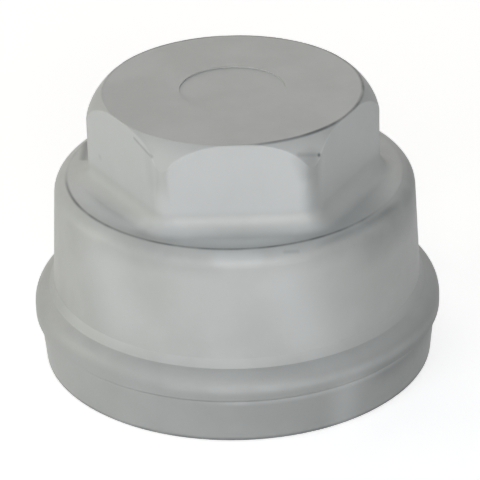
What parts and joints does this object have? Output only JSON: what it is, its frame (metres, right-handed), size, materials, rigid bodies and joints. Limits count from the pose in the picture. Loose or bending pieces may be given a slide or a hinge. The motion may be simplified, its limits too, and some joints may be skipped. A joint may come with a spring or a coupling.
{
  "type": "hub grease cap",
  "caption": "Hollow screw-on hub grease cap with a hexagon head, flat ledge, rounded shoulder, bead and internally threaded mouth.",
  "frame": {"origin": "on the cap's axis, in the plane of its foot", "axes": "+Z along the axis from the open mouth to the hexagon's top; one flat of the hexagon faces -Y"},
  "size_m": [0.1294, 0.1294, 0.0901],
  "materials": {
    "cast_metal": "satin cast, pale grey"
  },
  "bodies": {
    "root": {"grease_cap": "cast_metal"}
  },
  "joints": []
}
